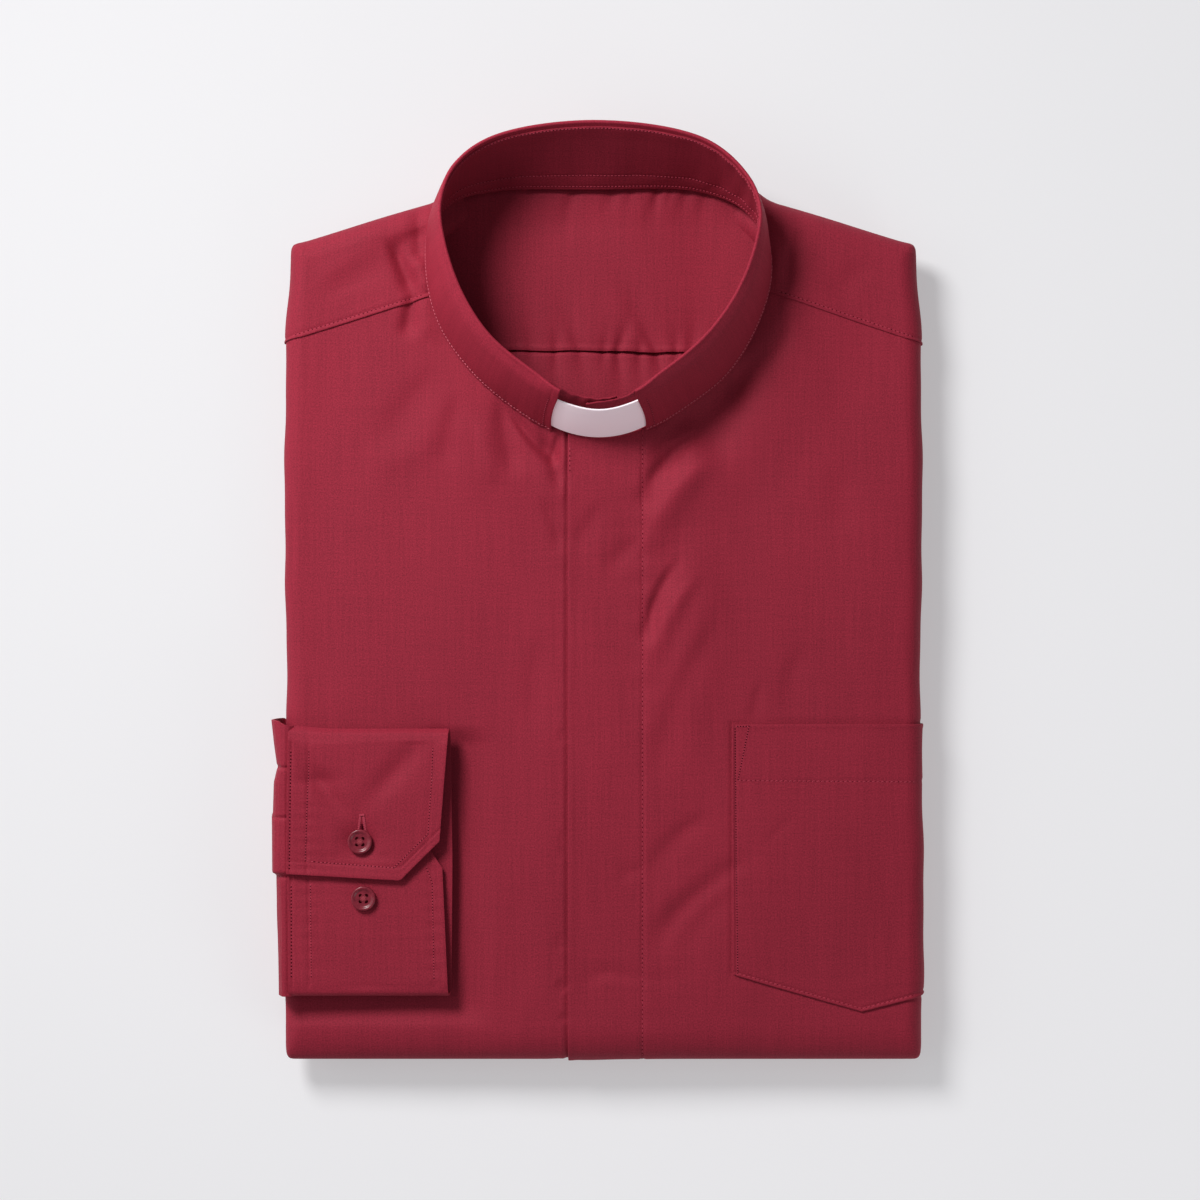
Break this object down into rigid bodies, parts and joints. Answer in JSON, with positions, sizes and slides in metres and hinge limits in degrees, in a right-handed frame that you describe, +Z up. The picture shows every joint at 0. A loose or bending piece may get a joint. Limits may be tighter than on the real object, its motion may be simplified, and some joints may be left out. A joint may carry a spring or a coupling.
{
  "type": "clergy shirt, folded",
  "caption": "Folded clergy shirt lying on its back: standing band collar with a white tab, fly-front placket, shoulder yoke, chest pocket and a buttoned cuff.",
  "frame": {"origin": "on the flat underside, below the middle of the chest", "axes": "+X across the chest towards the wearer's left, +Y from the folded tail end to the collar, +Z up from the surface that the shirt lies on"},
  "size_m": [0.2953, 0.4215, 0.058],
  "materials": {
    "shirt_cloth": "plain-weave poplin with a soft sheen",
    "tab_plastic": "satin white",
    "button_resin": "polished resin, matched to the cloth"
  },
  "bodies": {
    "root": {"folded_layers": "shirt_cloth", "front_right": "shirt_cloth", "front_left": "shirt_cloth", "placket": "shirt_cloth", "yoke": "shirt_cloth", "yoke_inner": "shirt_cloth", "back": "shirt_cloth", "pocket": "shirt_cloth", "collar_band_outer": "shirt_cloth", "collar_band_inner": "shirt_cloth", "collar_tab": "tab_plastic", "cuff": "shirt_cloth", "sleeve": "shirt_cloth", "cuff_button_fastened": "button_resin", "cuff_button_spare": "button_resin"}
  },
  "joints": []
}
